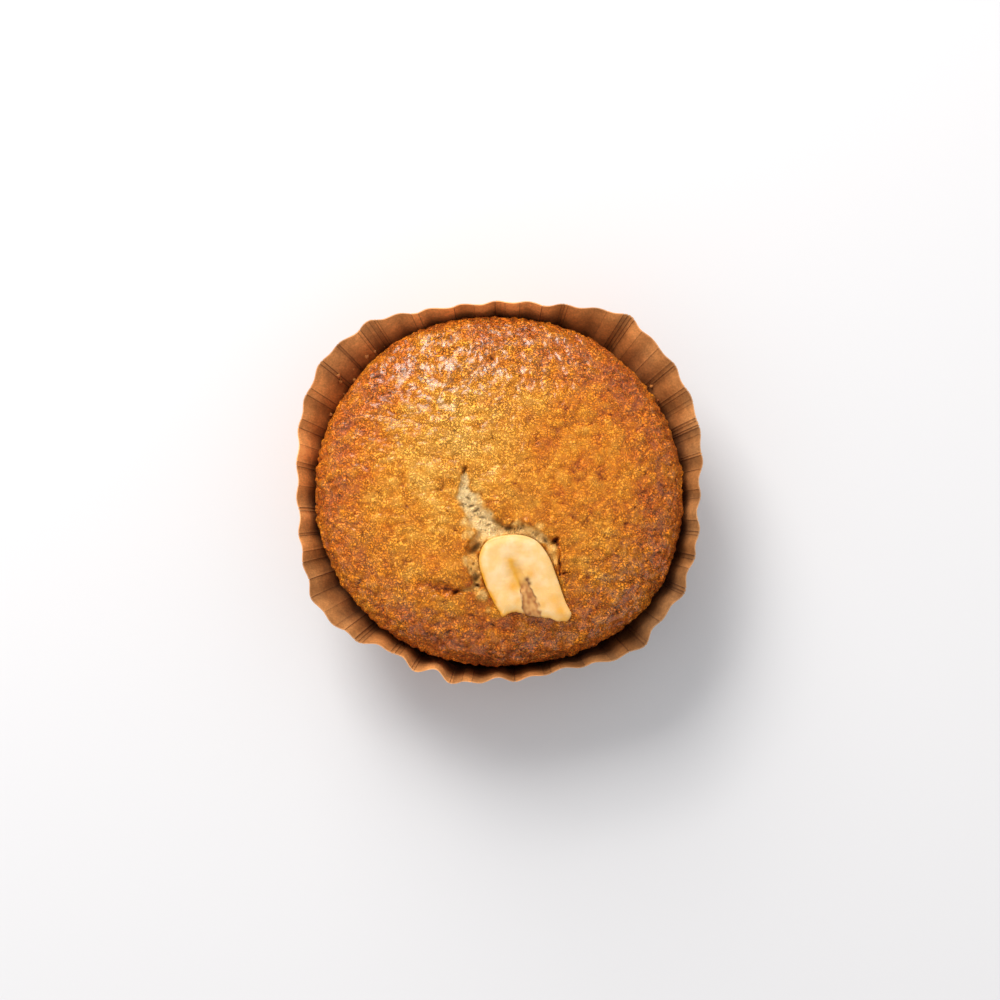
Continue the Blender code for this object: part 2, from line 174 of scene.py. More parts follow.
# The cracks in the crust: x, y, half the width and the depth of the tear at each place, and how pale its
# crumb is there, from crust at 0 to white crumb at 1.
CRACKS = (
    in_mm(4, (
        (-9.6, 5.9, 0.4, 1, 0.3), (-9.5, 3.4, 0.9, 1.5, 0.9), (-9.2, 0.6, 1.5, 1.6, 1), (-9, -1.7, 2.9, 1.6, 1),
        (-7.6, -4, 3, 1.9, 0.95), (-6.2, -6.4, 3, 2.2, 0.9), (-4.9, -8.6, 3.5, 2.4, 0.9), (-3.4, -11, 3.6, 2.4, 0.95),
        (-5.4, -13.2, 1.8, 2.2, 0.7), (-7.2, -16.5, 1.5, 2.4, 0.25), (-7.2, -20.3, 1.9, 0.7, 0.55),
        (-6.4, -24, 1.5, 2.2, 0.5), (-5.9, -26, 1.3, 2, 0.6), (-8.6, -27, 0.9, 1.6, 0.5), (-11.6, -27.4, 0.9, 2.2, 0.1),
        (-14.9, -26.8, 1.8, 1.2, 0), (-18.6, -25.9, 2, 0.9, 0), (-22.6, -25.1, 1.8, 0.6, 0), (-26, -25.9, 1.4, 0.3, 0),
    )),
    in_mm(4, (
        (-11.8, -27.2, 0.6, 2, 0), (-14, -26.6, 0.5, 1.5, 0), (-16.4, -26.9, 0.5, 1.3, 0), (-18.8, -25.9, 0.45, 1.1, 0),
        (-22.4, -25.4, 0.4, 0.8, 0),
    )),
    in_mm(4, (
        (-1, -10.5, 2.2, 2.4, 0.85), (2.2, -11.3, 1.5, 1.9, 0.55), (5.4, -11.4, 1.9, 1, 0.65), (8.4, -12, 1.7, 1, 0.62),
        (11.2, -13.4, 1.7, 1.4, 0.72), (13.2, -14.6, 1.3, 1.6, 0.6), (14.9, -13.8, 1, 2.2, 0.1),
        (15.5, -15.3, 0.35, 0.8, 0), (16, -16.5, 0.3, 0.5, 0), (15.8, -18.7, 0.4, 1.4, 0), (16.2, -19.9, 0.4, 1.5, 0),
        (16, -21.3, 0.3, 0.8, 0), (16.3, -23, 0.4, 1.5, 0), (17.4, -22.6, 0.5, 1.2, 0), (19, -22.1, 0.4, 0.5, 0),
    )),
)
CRACK_WALL_POWER = (1.4, 2.4)
CRACK_DEPTH_SHARE = 0.75
LIP_WIDTH = 2.4 * MM
LIP_HEIGHT = 0.35 * MM
# How far the torn edges wander, and how far apart their wiggles are.
RAGGED = in_mm(2, ((3.1, 0.9), (1.2, 0.5)))
# Thin crust that lets the pale crumb show: x, y, radius, strength.
THIN_CRUST = in_mm(3, (
    (13.8, -16, 1.7, 0.85), (14.3, -19.4, 1.4, 0.55), (-4.6, -28.2, 1.7, 0.8), (-3, -32, 1.5, 0.35),
    (-8.6, -9, 1.9, 0.8), (-8.2, -12.4, 1.9, 0.75), (-8.2, -19.4, 2.1, 0.7), (-10.8, -3.2, 1.6, 0.4),
    (10.4, -10.6, 1.8, 0.5), (4.6, -9.4, 1.8, 0.55),
))
# Holes that go deep: x, y, radius along the tear, radius across it, depth, the tear's direction, and how dark the
# painted shade in them is.
HOLES = in_mm(5, (
    (-9.3, 5, 1.2, 0.38, 1.4, 60, 0.75), (-0.6, -9.1, 1.9, 0.7, 1.5, -25, 0.6), (2.4, -10.4, 1.1, 0.6, 1.5, 5, 0.8),
    (-6.3, -15.7, 2, 0.8, 1.5, 42, 0.75), (-5.8, -25.7, 1, 0.4, 1.2, -25, 0.95),
    (-6.3, -23.8, 1.3, 0.8, 0.9, 40, 0.65), (-11.7, -27.4, 1.1, 0.5, 1.4, 45, 0.9),
    (14.9, -13.7, 1, 0.6, 1.6, 35, 0.85), (12.2, -13.8, 0.9, 0.4, 0.8, -50, 0.6),
    (10, -12.2, 0.7, 0.4, 0.6, 20, 0.5), (-7, -20, 0.4, 0.35, 0.6, 0, 0.8), (6.2, -9.9, 1.2, 0.5, 0.6, -60, 0.4),
    (3.4, -9, 0.9, 0.4, 0.6, 70, 0.4), (-8.2, -2.6, 0.7, 0.25, 0.6, -30, 0.7), (-7.6, -4.6, 0.9, 0.3, 0.6, 20, 0.8),
    (-6.4, -5.9, 0.9, 0.3, 0.6, 25, 0.8), (-4.6, -7.6, 1.1, 0.3, 0.6, -10, 0.8), (-3, -9.6, 0.9, 0.3, 0.6, 15, 0.7),
))

# The banana chip.
CHIP_OUTLINE = in_mm(2, (
    (5, -12.3), (9.7, -13.9), (13, -18), (15.2, -23.4), (17.5, -29.9), (19.1, -33.5), (17.2, -35.3), (12.4, -34.3),
    (7.7, -33.7), (4.6, -32.8), (2.4, -33.2), (0.8, -34), (-0.8, -31.6), (-3.9, -25.3), (-5.5, -19), (-3.9, -14.6),
    (-0.5, -12.8),
))
CHIP_STEPS = 16
CHIP_RING_COUNT = 54
CHIP_CENTRE = (6.5 * MM, -23.4 * MM)
CHIP_SEAT = 44.7 * MM
CHIP_SLOPE = (-0.05, 0.15)
CHIP_THICKNESS = 2.5 * MM
CHIP_BEVEL = 0.5 * MM
CHIP_ROUNDING = 0.5 * MM
SEED_SLOT = in_mm(4, (
    (4.2, -20.6, 0.8, 0.15), (6.4, -25.2, 1.3, 0.5), (7.4, -28.3, 1.9, 0.8), (8.1, -30.5, 2.3, 0.8),
    (8.9, -34.5, 2.8, 0.9),
))
CHIP_GROOVE = in_mm(4, (
    (3, -19.2, 2.4, 0.05), (3.4, -20.8, 3.2, 0.3), (4.2, -22.8, 3.2, 0.6), (5.4, -25.6, 2, 0.5),
))
# Dark seed holes on the chip, and places painted golden: toasted places, and painted shade beside the seed slot. Each:
# x, y, radius, strength.
SEEDS = in_mm(3, ((7.3, -24.1, 0.65, 1), (7.9, -25.2, 0.55, 0.9)))
TOASTED_AND_SHADED = in_mm(3, (
    (14.8, -29.8, 1.9, 0.6), (16.4, -32.6, 1.7, 0.75), (17.6, -34.4, 1.2, 0.4), (11.4, -30.8, 1.3, 0.35),
    (-3.9, -24, 1.6, 0.4), (-1.8, -29, 1.4, 0.4), (0.6, -33.4, 1, 0.2), (3.6, -26, 1.7, 0.85),
    (4.8, -29.4, 1.2, 0.5), (5.2, -21.6, 1.8, 0.5), (8.4, -22.7, 1.5, 0.6), (10, -25.6, 1.3, 0.45),
))
# The recess hugs the chip more closely here than in the solids, which keep clear of each other.
RECESS_MARGIN = 0.12 * MM
RECESS_WALL_SLOPE = 3.5

# Colours as the eye reads them, for shares from least to most: baked, pale as crumb, and light as strands.
CRUST_TONES = (
    (0.0, (232, 166, 66)), (0.2, (225, 146, 38)), (0.42, (214, 122, 14)), (0.65, (194, 92, 12)),
    (0.85, (166, 70, 14)), (1.0, (124, 50, 8)),
)
CRUMB_TONES = ((0.15, (224, 142, 46)), (0.45, (236, 172, 84)), (0.7, (242, 192, 118)), (1.0, (246, 212, 152)))
CORE_TONES = ((0.0, (126, 72, 26)), (0.35, (168, 106, 48)), (0.9, (204, 148, 82)))

# The room: half the floor's width, how far it lies under the paper, and each light's place, size, power, colour.
FLOOR_HALF = 1.5
FLOOR_DROP = 0.05 * MM
ROOM_LIGHT = 0.8
LIGHTS = (
    ("window", (-0.42, 0.74, 0.92), 0.56, 12.0, (1.0, 0.975, 0.93)),
    ("low_window", (-0.4, 1.1, 0.56), 0.8, 10.0, (1.0, 0.96, 0.9)),
)
LIGHTS_AIM = (0, 0, 0.04)

# The camera stands where the photograph was taken from.
CAMERA_DISTANCE = 750 * MM
CAMERA_ELEVATION = 86.5
CAMERA_AIM = (0.1 * MM, -2.3 * MM, 35 * MM)
CAMERA_LENS = 100
CAMERA_SENSOR = 36


def bells(angle, lobes):
    """The sum at each angle of bells: a direction, a height, and the bell's width before and after."""
    total = 0.0
    for way, height, before, after in lobes:
        away = (angle - way + 180) % 360 - 180
        total = total + height * np.exp(-((away / np.where(away > 0, after, before)) ** 2))
    return total


def turned(radius, angle):
    """X and Y at a radius in a direction."""
    return radius * np.cos(np.radians(angle)), radius * np.sin(np.radians(angle))


def lobed_radius(angle, radius, oval, lobes):
    return radius + oval * np.cos(np.radians(2 * angle)) + bells(angle, lobes)


def rim_radius(angle):
    return lobed_radius(angle, RIM_RADIUS, RIM_OVAL, RIM_LOBES)


def shoulder_radius(angle):
    return lobed_radius(angle, SHOULDER_RADIUS, SHOULDER_OVAL, SHOULDER_LOBES)


def paper_radius(angle, fraction):
    lean = rim_radius(angle) - FOOT_RADIUS - MADE_FLARE
    return FOOT_RADIUS + MADE_FLARE * fraction + lean * fraction**LEAN_POWER


def paper_height(angle, fraction):
    reach = rim_radius(angle) - FOOT_RADIUS
    return fraction * np.sqrt(SLOPE_LENGTH**2 - reach**2)


def pleat_reach(at_foot, at_rim, fraction):
    """How far a pleat stands out at a fraction of the slope: it grows evenly from the foot to the rim."""
    return at_foot + (at_rim - at_foot) * fraction


def deepest_valley(angle):
    """How far the valleys around each direction come in at the rim."""
    deep = PLEAT_ROOM
    for _, _, valley, reach in PLEATS:
        deep = np.maximum(deep, bells(angle, ((valley, -reach * MM, VALLEY_SPREAD, VALLEY_SPREAD),)))
    return deep


def side_radius(angle, height):
    """Radius of the cake's side, clear of the deepest pleat of the paper."""
    rise = height / SHOULDER_HEIGHT
    natural = BASE_RADIUS + (shoulder_radius(angle) - BASE_RADIUS) * rise**SIDE_POWER
    fraction = height / paper_height(angle, 1)
    off_centre = max(abs(RIM_SHIFT[0]), abs(RIM_SHIFT[1]))
    valley = pleat_reach(FOOT_PLEAT_DEPTH / 2, deepest_valley(angle), fraction)
    room = paper_radius(angle, fraction) - valley - PAPER - off_centre - 2 * CLEARANCE
    return np.minimum(natural, room)


def chip_underside(x, y):
    return CHIP_SEAT + CHIP_SLOPE[0] * (x - CHIP_CENTRE[0]) + CHIP_SLOPE[1] * (y - CHIP_CENTRE[1])


def to_segment(start, end, x, y):
    """Distance from each place to a straight run, and the share of the run where it is nearest."""
    run_x, run_y = end[0] - start[0], end[1] - start[1]
    share = ((x - start[0]) * run_x + (y - start[1]) * run_y) / (run_x**2 + run_y**2)
    share = np.clip(share, 0, 1)
    return np.hypot(x - start[0] - run_x * share, y - start[1] - run_y * share), share


def along(stations, x, y):
    """Distance from each place to a line of stations, and what the stations hold after x and y there."""
    distance = np.full_like(x, np.inf)
    values = np.zeros((len(stations[0]) - 2, len(x)))
    for first, second in zip(stations, stations[1:]):
        away, share = to_segment(first, second, x, y)
        near = away < distance
        distance = np.where(near, away, distance)
        between = [a + (b - a) * share for a, b in zip(first[2:], second[2:])]
        values = np.where(near, between, values)
    return distance, *values


def smooth_outline(corners, steps):
    """A closed curve through the corners, as a Catmull-Rom spline with a number of steps between corners."""
    corners = np.array(corners)
    a, b, c, d = (np.roll(corners, -k, axis=0) for k in (-1, 0, 1, 2))
    curve = []
    for t in np.arange(steps) / steps:
        bend = (2 * a - 5 * b + 4 * c - d) * t**2 + (3 * b - a - 3 * c + d) * t**3
        curve.append(0.5 * (2 * b + (c - a) * t + bend))
    return np.array(curve).transpose(1, 0, 2).reshape(-1, 2)


def outline_distance(outline, x, y):
    """Distance from each place to a closed outline: negative inside it."""
    inside = np.zeros_like(x, dtype=bool)
    nearest = np.full_like(x, np.inf)
    for start, end in zip(outline, np.roll(outline, -1, axis=0)):
        nearest = np.minimum(nearest, to_segment(start, end, x, y)[0])
        if start[1] != end[1]:
            crossing = start[0] + (end[0] - start[0]) * (y - start[1]) / (end[1] - start[1])
            inside ^= ((start[1] > y) != (end[1] > y)) & (x < crossing)
    return np.where(inside, -nearest, nearest)


def ripple(places, spacing):
    """Smooth noise at each place, from about -1 to 1, with its swells a spacing apart."""
    return np.array([noise.noise(Vector(p), noise_basis="PERLIN_ORIGINAL") for p in (places / spacing).tolist()])


def smooth_step(low, high, value):
    share = np.clip((value - low) / (high - low), 0, 1)
    return share * share * (3 - 2 * share)


def spot(x, y, places):
    """The sum of soft round spots: x, y, radius, strength."""
    return sum(strength * np.exp(-((x - a) ** 2 + (y - b) ** 2) / radius**2) for a, b, radius, strength in places)


def add_object(name, data):
    made = bpy.data.objects.new(name, data)
    bpy.context.scene.collection.objects.link(made)
    return made


def plain_mesh(name, points, faces, material, **values):
    """One object from points and faces, shaded smooth, with a value for each point under each name."""
    mesh = bpy.data.meshes.new(name)
    mesh.from_pydata(np.asarray(points).tolist(), [], faces)
    mesh.shade_smooth()
    mesh.materials.append(material)
    for label, numbers in values.items():
        layer = mesh.attributes.new(label, "FLOAT", "POINT")
        layer.data.foreach_set("value", np.asarray(numbers, dtype=np.float32))
    return add_object(name, mesh)


def loft_faces(rings, count, first):
    """Quads between rings of points that follow each other in the mesh."""
    faces = []
    for ring in range(rings - 1):
        low, high = first + ring * count, first + (ring + 1) * count
        faces += [(low + i, low + (i + 1) % count, high + (i + 1) % count, high + i) for i in range(count)]
    return faces


def fan_faces(count, first, centre, flip=False):
    fan = [(first + i, first + (i + 1) % count, centre) for i in range(count)]
    return [face[::-1] for face in fan] if flip else fan


class Nodes:
    """Short calls that add nodes to a tree."""

    def __init__(self, tree):
        self.tree = tree

    def fill(self, node, sockets):
        """Fills in a node's inputs: a socket is linked, any other value is set."""
        for key, value in sockets.items():
            if isinstance(value, bpy.types.NodeSocket):
                self.tree.links.new(value, node.inputs[key])
            else:
                node.inputs[key].default_value = value
        return node

    def put(self, kind, sockets=None, **settings):
        node = self.tree.nodes.new(kind)
        for label, value in settings.items():
            setattr(node, label, value)
        return self.fill(node, sockets or {})

    def get(self, kind, sockets=None, **settings):
        """Adds a node, and returns its first output."""
        return self.put(kind, sockets, **settings).outputs[0]

    def math(self, operation, a, b=0.0, c=0.0, clamp=False):
        return self.get("ShaderNodeMath", {0: a, 1: b, 2: c}, operation=operation, use_clamp=clamp)

    def times(self, a, b, clamp=False):
        return self.math("MULTIPLY", a, b, clamp=clamp)

    def times_plus(self, a, b, c, clamp=False):
        return self.math("MULTIPLY_ADD", a, b, c, clamp)

    def minus(self, a, b):
        return self.math("SUBTRACT", a, b)

    def vector(self, operation, a, b=(0, 0, 0)):
        return self.get("ShaderNodeVectorMath", {0: a, 1: b}, operation=operation)

    def scaled(self, vector, factor):
        return self.get("ShaderNodeVectorMath", {0: vector, "Scale": factor}, operation="SCALE")

    def span(self, value, low, high, start=0.0, end=1.0):
        sockets = {"Value": value, "From Min": low, "From Max": high, "To Min": start, "To Max": end}
        return self.get("ShaderNodeMapRange", sockets, interpolation_type="SMOOTHSTEP")

    def blend(self, share, a, b, kind="MIX"):
        return self.put("ShaderNodeMix", {0: share, 6: a, 7: b}, data_type="RGBA", blend_type=kind).outputs[2]

    def ramp(self, value, stops):
        node = self.put("ShaderNodeValToRGB", {"Fac": value})
        marks = node.color_ramp.elements
        while len(marks) < len(stops):
            marks.new(0.5)
        for mark, (place, colour) in zip(marks, stops):
            mark.position = place
            mark.color = tone(*colour)
        return node.outputs["Color"]

    def marks(self, *names):
        """The values that the mesh carries under names, in a material."""
        return [self.put("ShaderNodeAttribute", attribute_name=name).outputs["Fac"] for name in names]

    def carried(self, *names):
        """The values that the mesh carries under names, in Geometry Nodes."""
        kind = "GeometryNodeInputNamedAttribute"
        return [self.put(kind, {"Name": name}, data_type="FLOAT").outputs["Attribute"] for name in names]

    def place(self):
        return self.put("ShaderNodeTexCoord").outputs["Object"]

    def ripples(self, place, spacing, detail=2.0, roughness=0.5):
        sockets = {"Vector": place, "Scale": 1 / spacing, "Detail": detail, "Roughness": roughness}
        return self.get("ShaderNodeTexNoise", sockets)

    def bump(self, height, distance):
        return self.get("ShaderNodeBump", {"Height": height, "Distance": distance, "Strength": 1.0})

    def group(self, made, **sockets):
        return self.put("ShaderNodeGroup", sockets, node_tree=made).outputs


def tone(red, green, blue):
    """A colour as the eye reads it on a screen, 0 to 255, turned into light."""
    shares = [value / 255 for value in (red, green, blue)]
    return (*[s / 12.92 if s <= 0.04045 else ((s + 0.055) / 1.055) ** 2.4 for s in shares], 1.0)


def new_group(name, kind, takes, gives):
    """An empty node group. What it takes and gives is a starting value, or a kind of socket, under each name.

    Returns its nodes, the outputs of its input node, and its output node.
    """
    tree = bpy.data.node_groups.new(name, kind)
    kinds = {float: "Float", int: "Int", tuple: "Vector"}
    for way, sockets in (("INPUT", takes), ("OUTPUT", gives)):
        for label, value in sockets.items():
            socket = "NodeSocket" + kinds.get(type(value), value)
            made = tree.interface.new_socket(label, in_out=way, socket_type=socket)
            if type(value) in kinds:
                made.default_value = value
    nodes = Nodes(tree)
    return nodes, nodes.put("NodeGroupInput").outputs, nodes.put("NodeGroupOutput")


def make_grain_group():
    """Fine grain: a height for bumps and a mask that varies roughness and colour."""
    takes = {"Grain": 0.5 * MM, "Blotch": 6 * MM, "Stretch": (1, 1, 1)}
    gives = {"Height": "Float", "Mask": "Float"}
    nodes, take, give = new_group("fine grain", "ShaderNodeTree", takes, gives)
    place = nodes.vector("MULTIPLY", nodes.place(), take["Stretch"])
    noises = []
    for label, detail, roughness in (("Grain", 3.0, 0.6), ("Blotch", 2.0, 0.5)):
        rate = nodes.math("DIVIDE", 1.0, take[label])
        sockets = {"Vector": place, "Scale": rate, "Detail": detail, "Roughness": roughness}
        noises.append(nodes.get("ShaderNodeTexNoise", sockets))
    nodes.fill(give, {"Height": noises[0], "Mask": nodes.span(noises[1], 0.35, 0.65)})
    return nodes.tree


def new_material(name):
    """A material, its nodes and its Principled shader."""
    material = bpy.data.materials.new(name)
    material.use_nodes = True
    return material, Nodes(material.node_tree), material.node_tree.nodes["Principled BSDF"]


def make_crust_material(grain):
    """Baked crust, and pale crumb where the mesh says that the crust is torn."""
    material, nodes, surface = new_material("golden_crust")
    pale, brown, relief, deep, coarse = nodes.marks("pale", "brown", "relief", "deep", "coarse")
    place = nodes.place()
    fine = nodes.group(grain, Grain=0.72 * MM, Blotch=4.5 * MM)["Height"]
    ridges = nodes.span(nodes.math("ABSOLUTE", nodes.minus(fine, 0.5)), 0.0, 0.095)

    bake = nodes.times_plus(nodes.minus(nodes.ripples(place, 7 * MM, 3.0), 0.5), 0.9, brown)
    # Painted shade: the crust is browner along its fine grain lines and in the dips of its relief.
    bake = nodes.times_plus(nodes.minus(ridges, 0.63), -0.1, bake)
    bake = nodes.times_plus(relief, -0.15, bake)
    # The painted shade in holes, pits and thin cracks also browns the crust.
    bake = nodes.times_plus(deep, 0.5, bake, clamp=True)
    crust = nodes.ramp(bake, CRUST_TONES)

    # Painted shade makes the skin darker in its fine dips and pores, and a painted highlight makes it golden along its
    # glints.
    strong = nodes.times(coarse, nodes.span(nodes.ripples(place, 2.8 * MM), 0.36, 0.64, 0.55, 1.35))
    glints = nodes.ripples(nodes.vector("ADD", place, (0.03, 0.01, 0.02)), 0.85 * MM, 3.0, 0.6)
    glints = nodes.span(nodes.math("ABSOLUTE", nodes.minus(glints, 0.52)), 0.055, 0.0)
    drawn = nodes.vector("MULTIPLY", place, (0.7, 1.3, 1.0))
    pore = nodes.put("ShaderNodeTexVoronoi", {"Vector": drawn, "Scale": 1 / (3 * MM)}).outputs["Distance"]
    pore = nodes.times(nodes.span(pore, 0.15, 0.07), nodes.span(nodes.ripples(place, 4 * MM), 0.45, 0.6))
    shade = nodes.times(nodes.minus(ridges, 0.54), nodes.times(strong, 0.56))
    shade = nodes.times_plus(pore, -0.4, nodes.math("ADD", shade, 1.0))
    shade = nodes.times_plus(nodes.math("MINIMUM", relief, 0.0), 0.24, shade)
    crust = nodes.blend(1.0, crust, shade, "MULTIPLY")
    crust = nodes.blend(nodes.times(nodes.times(glints, strong), 0.3, clamp=True), crust, tone(246, 160, 52))
    # Painted shade in holes, pits and thin cracks darkens the crust.
    crust = nodes.blend(nodes.times(deep, 0.85, clamp=True), crust, tone(76, 38, 14))

    soft = nodes.ripples(place, 1.6 * MM, 3.0, 0.6)
    crumb = nodes.ramp(nodes.times_plus(nodes.minus(soft, 0.5), 0.6, pale), CRUMB_TONES)
    # Painted shade in holes and between flakes darkens the crumb.
    crumb = nodes.blend(nodes.times(deep, 1.0, clamp=True), crumb, tone(92, 54, 20))

    bare = nodes.span(pale, 0.1, 0.4)
    oil = nodes.times(nodes.minus(1.0, bare), nodes.span(nodes.ripples(place, 2.6 * MM), 0.4, 0.6))
    dull = nodes.times_plus(nodes.times(oil, coarse), -0.16, 0.5)
    height = nodes.times_plus(pore, -1.2, nodes.times_plus(fine, 0.8, ridges))
    height = nodes.times(height, nodes.times_plus(strong, 0.7, 0.3))
    nodes.fill(surface, {
        "Base Color": nodes.blend(bare, crust, crumb),
        "Roughness": nodes.times_plus(bare, 0.3, dull, clamp=True),
        "Coat Weight": nodes.times(oil, nodes.span(coarse, 0.6, 1.9, 0.12, 1.0)),
        "Coat Roughness": 0.19,
        "Specular IOR Level": 0.4,
        "Specular Tint": (1.0, 0.82, 0.6, 1),
        "Subsurface Weight": 0.05,
        "Subsurface Radius": (1.6 * MM, 0.7 * MM, 0.2 * MM),
        "Subsurface Scale": 1.0,
        "Normal": nodes.bump(height, 0.36 * MM),
    })
    return material


def make_paper_material(grain):
    """Brown greaseproof paper: fold lines painted dark with shade, grease low down and beside the cake with painted
    shade there, painted shade towards each pleat's valley, painted light and shade by direction, and a pale cut edge.
    """
    material, nodes, surface = new_material("brown_baking_paper")
    names = ("rise", "fold", "cut", "turn", "painted_light_and_shade", "greasy", "panel")
    rise, fold, cut, turn, painted_light_and_shade, greasy, panel = nodes.marks(*names)
    place = nodes.place()
    fibres = nodes.group(grain, Grain=0.5 * MM, Blotch=13 * MM, Stretch=(1, 1, 0.4))
    # Darker lower down the wall: grease, and painted shade.
    soaked_and_shaded = nodes.times_plus(fibres["Mask"], 0.55, nodes.span(rise, 0.97, 0.72), clamp=True)
    paper = nodes.blend(soaked_and_shaded, tone(200, 136, 76), tone(180, 112, 58))
    speck = nodes.span(fibres["Height"], 0.35, 0.7, 0.84, 1.12)
    speck = nodes.times(speck, nodes.span(nodes.ripples(place, 2.5 * MM, 3.0), 0.3, 0.7, 0.84, 1.12))
    # Multiplied in: each panel's random tone, painted shade darker towards each pleat's valley, and the painted light
    # and shade by direction.
    for share in (nodes.times(speck, panel), nodes.span(turn, 0.0, 0.8, 0.8, 1.06), nodes.minus(1.0, painted_light_and_shade)):
        paper = nodes.blend(1.0, paper, share, "MULTIPLY")
    # In patches where it lies close to the cake the paper is darkened by grease and by painted shade.
    patchy = nodes.times(greasy, nodes.span(nodes.ripples(place, 3 * MM), 0.3, 0.6, 0.55, 0.95))
    paper = nodes.blend(patchy, paper, tone(82, 44, 20))
    # Fold lines are painted dark: painted shade in the creases.
    paper = nodes.blend(nodes.times(fold, 0.9, clamp=True), paper, tone(66, 32, 16))
    nodes.fill(surface, {
        "Base Color": nodes.blend(nodes.times(cut, 0.15), paper, tone(232, 190, 142)),
        "Roughness": nodes.span(fibres["Mask"], 0, 1, 0.66, 0.5),
        "Normal": nodes.bump(fibres["Height"], 0.05 * MM),
    })
    return material


def make_chip_material(grain):
    """Dried banana: waxy cream flesh, toasted edges, painted shade along its groove and beside its slot, and a dull
    brown slot where the seeds were, painted darker at its sides.
    """
    material, nodes, surface = new_material("dried_banana")
    rim, crook, seedy, strands, seed = nodes.marks("rim", "crook", "seedy", "strands", "seed")
    flesh = nodes.group(grain, Grain=0.6 * MM, Blotch=4 * MM)
    cream = nodes.blend(flesh["Mask"], tone(229, 195, 143), tone(226, 182, 112))
    cream = nodes.blend(rim, cream, tone(218, 148, 0))
    # A golden band of painted shade along the chip's groove.
    cream = nodes.blend(crook, cream, tone(212, 148, 4))
    colour = nodes.blend(seedy, cream, nodes.ramp(strands, CORE_TONES))
    nodes.fill(surface, {
        "Base Color": nodes.blend(seed, colour, tone(104, 56, 10)),
        "Roughness": nodes.times_plus(seedy, 0.3, 0.42),
        "Subsurface Weight": 0.2,
        "Subsurface Radius": (1.6 * MM, 0.9 * MM, 0.4 * MM),
        "Subsurface Scale": 1.0,
        "Normal": nodes.bump(flesh["Height"], 0.1 * MM),
    })
    return material


def make_crumb_material(grain):
    material, nodes, surface = new_material("loose_crumb")
    toast = nodes.group(grain, Grain=0.4 * MM, Blotch=1.5 * MM)
    nodes.fill(surface, {
        "Base Color": nodes.blend(toast["Mask"], tone(160, 84, 30), tone(208, 136, 62)),
        "Roughness": 0.6,
        "Normal": nodes.bump(toast["Height"], 0.1 * MM),
    })
    return material


def disc_places(steps):
    """A square grid of places laid evenly over a disc of radius 1: share of the radius, and angle."""
    line = np.linspace(-1, 1, steps)
    across, up = (grid.ravel() for grid in np.meshgrid(line, line, indexing="ij"))
    wide = np.abs(across) > np.abs(up)
    long, short = np.where(wide, across, up), np.where(wide, up, across)
    turn = math.pi / 4 * short / np.where(long == 0, 1, long)
    turn = np.where(wide, turn, math.pi / 2 - turn)
    return np.abs(long), np.degrees(np.arctan2(long * np.sin(turn), long * np.cos(turn)))


def even_over_dome(share):
    """Share of the dome's radius for a share of the way over its curve, so that steep parts get more points."""
    turn = np.linspace(0, math.pi / 2, 400)
    step = np.hypot(np.cos(turn), DOME_RISE / SHOULDER_RADIUS * np.sin(turn))
    way = np.concatenate([[0], np.cumsum((step[1:] + step[:-1]) / 2)])
    return np.interp(share, way / way[-1], np.sin(turn))


def tear(x, y):
    """How far the cracks lower the crust, how torn and how pale it is, and where a thin crack is painted dark with
    shade.
    """
    flat = np.column_stack([x, y, np.zeros_like(x)])
    thin = spot(x, y, THIN_CRUST)
    for spacing, reach in RAGGED:
        x = x + reach * ripple(flat + 0.1, spacing)
        y = y + reach * ripple(flat + 0.2, spacing)
    lowered = np.zeros_like(x)
    lip = np.zeros_like(x)
    torn = np.zeros_like(x)
    line = np.zeros_like(x)
    pale = np.clip(thin * (0.8 + 0.7 * ripple(flat + 0.3, 1.8 * MM)), 0, 0.6)
    for crack in CRACKS:
        distance, width, depth, white = along(crack, x, y)
        share = distance / width
        soft, steep = CRACK_WALL_POWER
        wall = np.minimum(share, 1) ** (soft + (steep - soft) * white)
        lowered = np.maximum(lowered, CRACK_DEPTH_SHARE * depth * (1 - wall))
        beside = np.clip(1 - (distance - width) / LIP_WIDTH, 0, 1) ** 2
        lip = np.maximum(lip, np.where(share > 1, LIP_HEIGHT * beside, 0))
        deep = smooth_step(0.2 * MM, 1.0 * MM, depth)
        torn = np.maximum(torn, deep * smooth_step(1.08, 0.8, share) * smooth_step(0.2, 0.6, white))
        pale = np.maximum(pale, white * deep * smooth_step(1.3, 0.55, share))
        # A thin crack is painted dark along its middle: painted shade.
        thin = smooth_step(1.1 * MM, 0.6 * MM, width) * (1 - white)
        line = np.maximum(line, thin * smooth_step(0.4 * MM, 1.4 * MM, depth) * smooth_step(0.9, 0.0, share))
    return np.where(lowered > 0, lowered, -lip), torn, pale, line


def holes(x, y):
    """The painted shade of the deep holes in the tears, from 0 to 1, and how far they go down."""
    dark = np.zeros_like(x)
    sunk = np.zeros_like(x)
    for hole_x, hole_y, long, short, depth, way, darkness in HOLES:
        cos, sin = math.cos(math.radians(way)), math.sin(math.radians(way))
        ahead = ((x - hole_x) * cos + (y - hole_y) * sin) / long
        aside = ((y - hole_y) * cos - (x - hole_x) * sin) / short
        well = np.exp(-((ahead**2 + aside**2) ** 1.5))
        dark = np.maximum(dark, darkness * well)
        sunk = np.maximum(sunk, depth * well)
    return dark, sunk


